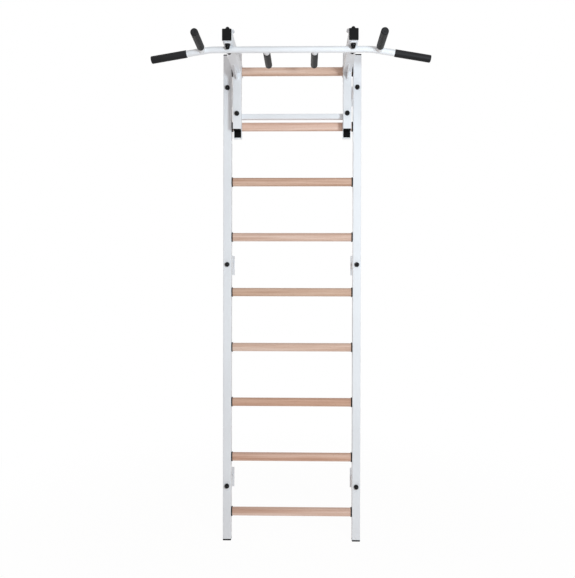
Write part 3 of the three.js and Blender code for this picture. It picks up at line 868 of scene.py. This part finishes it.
# %% Tubes of a side frame
LID = 3 * MM
member_y = (member_back + member_front) / 2
member = straight_tube((0, member_y, member_end), (0, member_y, member_top - LID), MEMBER_SIDE, MEMBER_SIDE)
arm_z = (arm_top + arm_bottom) / 2
arm = straight_tube((0, member_front, arm_z), (0, arm_front, arm_z), MEMBER_SIDE, ARM_HEIGHT)
lid = plate(rounded_ring(MEMBER_SIDE, MEMBER_SIDE, TUBE_CORNER), LID, 0.8 * MM)
print("member and arm", len(member.vertices) + len(arm.vertices), "points")

# %% Plates of a side frame
GUSSET_LENGTH, GUSSET_HEIGHT, GUSSET_THICKNESS = 112 * MM, 34 * MM, 6 * MM
gusset_outline = [
    (member_front + 1 * MM, arm_bottom + 1 * MM),
    (member_front - GUSSET_LENGTH, arm_bottom + 1 * MM),
    (member_front - GUSSET_LENGTH, arm_bottom - 1.5 * MM),
    (member_front - 1.5 * MM, arm_bottom - GUSSET_HEIGHT),
    (member_front + 1 * MM, arm_bottom - GUSSET_HEIGHT),
]
gusset_hole = (member_front - 19 * MM, arm_bottom - 11.5 * MM)
gusset = plate(gusset_outline, GUSSET_THICKNESS, 0.7 * MM, round_hole(gusset_hole, 14 * MM))

HOOK_THICKNESS, HOOK_BEND = 6 * MM, 4 * MM
seat = TOP_RUNG.z + RUNG[9][3].z / 2 + 0.3 * MM
hook_inner = TOP_RUNG.y + RUNG[9][3].y / 2 + 4 * MM
hook_tip = seat - 43 * MM
bend = (hook_inner - HOOK_BEND, seat - HOOK_BEND)
hook_outline = [
    (member_back - 1 * MM, seat),
    *arc(bend, HOOK_BEND, 90, 0, 6),
    (hook_inner, hook_tip),
    (hook_inner + HOOK_THICKNESS, hook_tip),
    *arc(bend, HOOK_BEND + HOOK_THICKNESS, 0, 90, 8),
    (member_back - 1 * MM, seat + HOOK_THICKNESS),
]
hook = plate(hook_outline, MEMBER_SIDE, 0.9 * MM)

TRAY_FLOOR, TRAY_CHEEK, TRAY_DEPTH = 5 * MM, 3 * MM, 15 * MM
shoe_low, shoe_high, _, shoe_size = span("frame_shoe_left")
tray_top, tray_low, half = shoe_low.z - 0.3 * MM, frame_low.z, MEMBER_SIDE / 2
tray_outline = [
    (-half, tray_low), (half, tray_low), (half, shoe_high.z), (half - TRAY_CHEEK, shoe_high.z),
    (half - TRAY_CHEEK, tray_top), (TRAY_CHEEK - half, tray_top), (TRAY_CHEEK - half, shoe_high.z),
    (-half, shoe_high.z),
]
tray = plate(tray_outline, TRAY_DEPTH, 0.6 * MM)
print("gusset, hook and tray", [len(mesh.polygons) for mesh in (gusset, hook, tray)], "faces")

# %% Side frames
side_frame = joined(
    "side_frame",
    (member, shift()),
    (arm, shift()),
    (lid, shift(y=member_y, z=member_top - LID / 2)),
    (gusset, ON_EDGE),
    (hook, ON_EDGE),
    (tray, shift(y=member_back - 1 * MM + TRAY_DEPTH / 2) @ LYING),
)
frame_places = [(Vector((way * FRAME_X, 0, 0)), UP) for way in (-1, 1)]
side_frames = repeated("side_frames", side_frame, frame_places, WHITE_COAT)
fitted(side_frames, "pull_up_frame", "white_steel", "side_frame_left", "side_frame_right")

# %% Saddles
SADDLE_LENGTH, SADDLE_CORNER, SADDLE_REACH = 40 * MM, 14 * MM, 23 * MM
SADDLE_INSET, SADDLE_OVERHANG = 3 * MM, 8.5 * MM  # from the arm's outer side, and past its inner side
saddle_width = MEMBER_SIDE - SADDLE_INSET + SADDLE_OVERHANG
saddle = plate(rounded_ring(saddle_width, SADDLE_LENGTH, SADDLE_CORNER, 10), SADDLE_THICKNESS, 0.9 * MM)
saddle_x = FRAME_X - (SADDLE_INSET + SADDLE_OVERHANG) / 2
saddle_z = arm_top + SADDLE_THICKNESS / 2
saddle_places = [(Vector((way * saddle_x, bar_y - SADDLE_REACH, saddle_z)), UP) for way in (-1, 1)]
saddles = repeated("saddles", saddle, saddle_places, WHITE_COAT)
fitted(saddles, "pull_up_frame", "white_steel")

# %% [markdown]
# ## Pull-up bar
# The bar is a round tube bent down a little at both ends, with two handles pointing forward on its slopes and
# two pointing back near the middle. A tree sweeps a circle along paths, and the paths come from the bar's own
# rule: level, an arc, then a straight slope. Two plates on top of the bar are bolted up under the arms.

# %% Tree: round tube along a path
board, put = new_tree(
    "round_tube", {"Geometry": "Geometry", "Diameter": "Float", "Sides": "Int", "Finish": "Material"}
)
path = board.node("GeometryNodeMeshToCurve", {}, {"Mesh": put["Geometry"]})
section = board.node(
    "GeometryNodeCurvePrimitiveCircle", {}, {"Resolution": put["Sides"], "Radius": 0.5 * put["Diameter"]}
)
tube = board.node("GeometryNodeCurveToMesh", {}, {"Curve": path, "Profile Curve": section, "Fill Caps": True})
ROUND_TUBE = close_tree(board, tube, put["Finish"])
print(ROUND_TUBE.name)

# %% Path of the bar and its handles
BEND_X, BEND_ANGLE, BEND_RADIUS = 347 * MM, math.radians(9.7), 250 * MM
END_RUN = 252 * MM
FORWARD_X, INNER_X = 378 * MM, 104 * MM
FORWARD_REACH, INNER_REACH = bar_y - bar_low.y, bar_high.y - bar_y
tangent = BEND_RADIUS * math.tan(BEND_ANGLE / 2)


def half_path(way):
    """From the end of the level run to the bar's end."""
    bend_steps = 10
    bend_start = BEND_X - tangent
    turns = [BEND_ANGLE * step / bend_steps for step in range(bend_steps + 1)]
    bent = [(bend_start + BEND_RADIUS * math.sin(turn), BEND_RADIUS * (1 - math.cos(turn))) for turn in turns]
    end = (BEND_X + END_RUN * math.cos(BEND_ANGLE), END_RUN * math.sin(BEND_ANGLE))
    return [Vector((way * x, bar_y, bar_z - drop)) for x, drop in (*bent, end)]


def bar_point(x):
    drop = max(0, abs(x) - BEND_X) * math.tan(BEND_ANGLE)
    return Vector((x, bar_y, bar_z - drop))


bar_path = [*reversed(half_path(-1)), *half_path(1)]
HANDLES = [(way * x, aim, reach) for way in (-1, 1)
           for x, aim, reach in ((FORWARD_X, FORWARD, FORWARD_REACH), (INNER_X, BACKWARD, INNER_REACH))]
handle_paths = [[bar_point(x), bar_point(x) + aim * reach] for x, aim, reach in HANDLES]
print(f"bar {2 * half_path(1)[-1].x:.3f} m from end to end")

# %% Pull-up bar with its hangers
HANGER_WIDTH, HANGER_LENGTH, HANGER_CORNER = 32 * MM, 92 * MM, 8 * MM
bar_and_handles = wire("bar_paths", bar_path, *handle_paths)
bar_tube = bare_mesh(
    grown("tube", ROUND_TUBE, bar_and_handles, diameter=BAR_DIAMETER, sides=40, finish=WHITE_COAT)
)
hanger_outline = rounded_ring(HANGER_WIDTH, HANGER_LENGTH, HANGER_CORNER)
hanger_z = hanger_top - HANGER_THICKNESS / 2
hangers = [
    (plate(hanger_outline, HANGER_THICKNESS, 0.8 * MM), shift(way * FRAME_X, bar_y, hanger_z))
    for way in (-1, 1)
]
bar_mesh = joined("pull_up_tube", (bar_tube, shift()), *hangers)
bar_mesh.materials.append(WHITE_COAT)
pull_up_tube = placed_object("pull_up_tube", bar_mesh)
fitted(pull_up_tube, "pull_up_frame", "white_steel", "pull_up_bar")

# %% [markdown]
# ## Grips
# Six rubber sleeves are pushed over the tubes' ends. Each is closed and rounded at its end, with the shallow
# dimple that a dipped or moulded grip has, and its mouth is a little rounded too.

# %% Grips
GRIP_LENGTH, GRIP_WALL, GRIP_END = 155 * MM, 1.95 * MM, 3.3 * MM
bore = BAR_DIAMETER / 2 + 0.15 * MM
grip_radius = BAR_DIAMETER / 2 + 0.3 * MM + GRIP_WALL
mouth = GRIP_END - GRIP_LENGTH
shoulder = arc((grip_radius - 5 * MM, GRIP_END - 5 * MM), 5 * MM, 0, 90, 8)
dimple = [(6.5 * MM, GRIP_END), (5.2 * MM, GRIP_END - 0.5 * MM), (3.5 * MM, GRIP_END - 1.1 * MM)]
grip_outline = [
    (0, 0.1 * MM), (bore, 0.1 * MM), (bore, mouth + 0.4 * MM), (bore + 0.4 * MM, mouth),
    (grip_radius - 0.8 * MM, mouth), (grip_radius - 0.2 * MM, mouth + 0.2 * MM),
    (grip_radius, mouth + 0.8 * MM), *shoulder, *dimple, (0, GRIP_END - 1.3 * MM),
]
grip_places = [(bar_point(x) + aim * reach, aim) for x, aim, reach in HANDLES]
for way in (-1, 1):
    end, before = half_path(way)[-1], half_path(way)[-2]
    grip_places.append((end, (end - before).normalized()))
grips = repeated("grips", turned(grip_outline, 40), grip_places, GRIP)
fitted(
    grips, "pull_up_frame", "grip_rubber",
    *[f"{kind}_grip_{side}" for kind in ("end", "forward", "inner") for side in SIDES],
)

# %% [markdown]
# ## Crossbar
# A rectangular tube ties the two members together behind their backs. Its ends are open, so it is a plate
# with a large hole, pulled out to the crossbar's whole length and laid across.

# %% Crossbar
cross_low, cross_high, cross_middle, cross_size = span("crossbar")
CROSS_WALL = 2 * MM
cross_ring = rounded_ring(cross_size.y, cross_size.z, TUBE_CORNER)
cross_bore = rounded_ring(cross_size.y - 2 * CROSS_WALL, cross_size.z - 2 * CROSS_WALL, TUBE_CORNER / 2)
cross_tube = joined(
    "crossbar_tube",
    (plate(cross_ring, cross_size.x, 0.4 * MM, cross_bore), Matrix.Translation(cross_middle) @ ON_EDGE),
)
cross_tube.materials.append(WHITE_COAT)
crossbar_tube = placed_object("crossbar_tube", cross_tube)
fitted(crossbar_tube, "pull_up_frame", "white_steel", "crossbar")

# %% [markdown]
# ## Arm caps and rubber shoes
# Black caps close the arms in front. At the foot of each member a rubber shoe plugs the tube and fills the
# tray behind it, so that the frame bears on a rung without marking it. Both are joined from plates with
# generous edges, as moulded rubber has.

# %% Arm caps
cap_low, cap_high, cap_middle, cap_size = span("arm_cap_left")
cap_rim = arm_front - cap_low.y
arm_cap = joined(
    "arm_cap",
    (plate(rounded_ring(cap_size.x, cap_size.z, TUBE_CORNER), cap_rim, 1.0 * MM), shift(z=cap_rim / 2)),
)
cap_places = [(Vector((way * FRAME_X, arm_front, cap_middle.z)), FORWARD) for way in (-1, 1)]
arm_caps = repeated("arm_caps", arm_cap, cap_places, PLASTIC)
fitted(arm_caps, "pull_up_frame", "black_plastic", "arm_cap_left", "arm_cap_right")

# %% Rubber shoes
SHOE_RIM, PLUG_SIDE = 3.3 * MM, 35.4 * MM
pad_width = MEMBER_SIDE - 2 * TRAY_CHEEK - 0.6 * MM
pad_low, pad_high = member_back + 0.3 * MM, shoe_high.y
pad = plate(rounded_ring(pad_width, pad_high - pad_low, 2 * MM), shoe_high.z - shoe_low.z, 1.2 * MM)
plug = plate(rounded_ring(PLUG_SIDE, PLUG_SIDE, TUBE_CORNER / 2), SHOE_RIM, 0.6 * MM)
web = plate(rounded_ring(pad_width, 20 * MM, 1 * MM), SHOE_RIM, 0.6 * MM)
shoe = joined(
    "shoe",
    (pad, shift(y=(pad_low + pad_high) / 2, z=(shoe_high.z + shoe_low.z) / 2)),
    (plug, shift(y=member_y, z=member_end - SHOE_RIM / 2)),
    (web, shift(y=member_back - 6 * MM, z=member_end - SHOE_RIM / 2)),
)
frame_shoes = repeated("frame_shoes", shoe, frame_places, RUBBER)
fitted(frame_shoes, "pull_up_frame", "black_rubber", "frame_shoe_left", "frame_shoe_right")

# %% [markdown]
# ## Bolts of the pull-up frame
# The crossbar and the bar are bolted on, and again only black caps show: domes on the members and on top
# of the arms, and bell shaped nut covers with a wide foot below the hangers. They are turned like the others.

# %% Frame bolts
MEMBER_DOME = dome(24 * MM, 2 * MM, 18 * MM)
ARM_DOME = dome(20 * MM, 2 * MM, 14 * MM)
BELL_FOOT, BELL_SHOULDER, BELL_HEIGHT = 23.5 * MM, 12 * MM, 21.5 * MM
BOLT_RISE = 3 * MM  # of the members' bolts above the crossbar's middle
CLAMP_REACH = 29 * MM  # from the bar's axis to a clamp bolt's axis


def bell():
    """A nut cover: a wide foot, sides that draw in and a round crown."""
    foot = BELL_FOOT / 2
    sides = [(foot - 0.5 * MM, 5 * MM), (foot - 1.3 * MM, 6.4 * MM), (foot - 1.9 * MM, 9 * MM)]
    neck, rise = foot - 2.6 * MM, BELL_HEIGHT - BELL_SHOULDER
    crown = [(neck * x, BELL_SHOULDER + rise * y) for x, y in arc((0, 0), 1, 0, 90, 9)]
    return [(foot - 0.4 * MM, 0), (foot, 0.4 * MM), (foot, 4.2 * MM), *sides, *crown[:-1], (0, BELL_HEIGHT)]


def capped(outline):
    return turned([(0, -1 * MM), (outline[0][0], -1 * MM), *outline])


bolt_z = cross_middle.z + BOLT_RISE
member_places = [(Vector((way * FRAME_X, member_front, bolt_z)), FORWARD) for way in (-1, 1)]
hanger_bottom = hanger_top - HANGER_THICKNESS
arm_places, hanger_places = [], []
for way in (-1, 1):
    for step, seat_z in ((-1, arm_top + SADDLE_THICKNESS), (1, arm_top)):
        spot = Vector((way * FRAME_X, bar_y + step * CLAMP_REACH, seat_z))
        arm_places.append((spot, UP))
        hanger_places.append((Vector((spot.x, spot.y, hanger_bottom)), DOWN))
for name, outline, places in (
    ("member_bolts", MEMBER_DOME, member_places),
    ("arm_bolts", ARM_DOME, arm_places),
    ("hanger_nuts", bell(), hanger_places),
):
    fitted(repeated(name, capped(outline), places, BOLT), "pull_up_frame", "black_bolt", sharp=40)

# %% [markdown]
# ## Weld beads
# Steel this thin is welded with a small rippled bead, and the powder coat rounds it off. A tree sweeps a
# round section along each seam and swells it in short steps, like overlapping scales; the seams follow the
# edges where plates and tubes meet.

# %% Tree: rippled bead along seams
board, put = new_tree(
    "weld_bead",
    {"Geometry": "Geometry", "Radius": "Float", "Ripple": "Float", "Finish": "Material"},
)
seam = board.node("GeometryNodeMeshToCurve", {}, {"Mesh": put["Geometry"]})
seam = board.node(
    "GeometryNodeResampleCurve", {"mode": "LENGTH"}, {"Curve": seam, "Length": put["Ripple"] * 0.3334}
)
along = board.node("GeometryNodeSplineParameter", output="Length")
scale = board.node("ShaderNodeMath", {"operation": "DIVIDE"}, {0: along, 1: put["Ripple"]})
scale = board.node("ShaderNodeMath", {"operation": "FRACT"}, {0: scale})
section = board.node("GeometryNodeCurvePrimitiveCircle", {}, {"Resolution": 8, "Radius": put["Radius"]})
bead = board.node(
    "GeometryNodeCurveToMesh",
    {},
    {"Curve": seam, "Profile Curve": section, "Scale": 0.86 + 0.28 * scale, "Fill Caps": True},
)
WELD_BEAD = close_tree(board, bead, put["Finish"])
print(WELD_BEAD.name)


# %% Seams of the brackets
def square_seam(width, height, corner, place):
    ring = rounded_ring(width, height, corner, 3)
    return [place @ Vector((x, y, 0)) for x, y in (*ring, ring[0])]


bracket_seams = []
for place, _ in bracket_places:
    for y in (-PLATE_THICKNESS, front_face + PLATE_THICKNESS):
        at_seam = Matrix.Translation(place) @ shift(y=y) @ LYING
        bracket_seams.append(square_seam(STANDOFF_SIDE, STANDOFF_SIDE, TUBE_CORNER, at_seam))
bracket_welds = grown(
    "bracket_welds", WELD_BEAD, wire("bracket_seams", *bracket_seams),
    radius=1.8 * MM, ripple=2.4 * MM, finish=WHITE_COAT,
)
fitted(bracket_welds, "wall_bars", "white_steel", sharp=75)


# %% Seams of the pull-up frame
HANGER_SEAM = 6 * MM  # from the bar's axis to where it meets the hanger


def frame_seams(x):
    seams = [square_seam(MEMBER_SIDE, ARM_HEIGHT, TUBE_CORNER, shift(x, member_front, arm_z) @ LYING)]
    for way in (-1, 1):
        edge = x + way * GUSSET_THICKNESS / 2
        seams.append([(edge, member_front - GUSSET_LENGTH, arm_bottom), (edge, member_front, arm_bottom)])
        seams.append([(edge, member_front, arm_bottom - GUSSET_HEIGHT), (edge, member_front, arm_bottom)])
        cheek = x + way * (half - 0.8 * MM)
        seams.append([(cheek, member_back, member_end + 1 * MM), (cheek, member_back, shoe_high.z - 2 * MM)])
    for way in (-1, 1):
        seam_y = bar_y + way * HANGER_SEAM
        ends = [(x + step * (HANGER_WIDTH / 2 - 1 * MM), seam_y, hanger_bottom) for step in (-1, 1)]
        seams.append(ends)
    for z in (seat, seat + HOOK_THICKNESS):
        seams.append([(x - half + 2 * MM, member_back, z), (x + half - 2 * MM, member_back, z)])
    return seams


def handle_seam(x, aim):
    """Where a handle meets a bar of its own diameter."""
    radius = BAR_DIAMETER / 2
    slope = BEND_ANGLE if x > BEND_X else -BEND_ANGLE if x < -BEND_X else 0
    lean = Matrix.Rotation(slope, 4, "Y")
    turns = [2 * math.pi * step / 36 for step in range(37)]
    ring = [Vector((math.cos(turn), abs(math.cos(turn)) * aim.y, math.sin(turn))) * radius for turn in turns]
    return [bar_point(x) + lean @ point for point in ring]


seams = [seam for way in (-1, 1) for seam in frame_seams(way * FRAME_X)]
seams += [handle_seam(x, aim) for x, aim, _ in HANDLES]
frame_welds = grown(
    "frame_welds", WELD_BEAD, wire("frame_seams", *seams),
    radius=1.9 * MM, ripple=2.4 * MM, finish=WHITE_COAT,
)
fitted(frame_welds, "pull_up_frame", "white_steel", sharp=75)
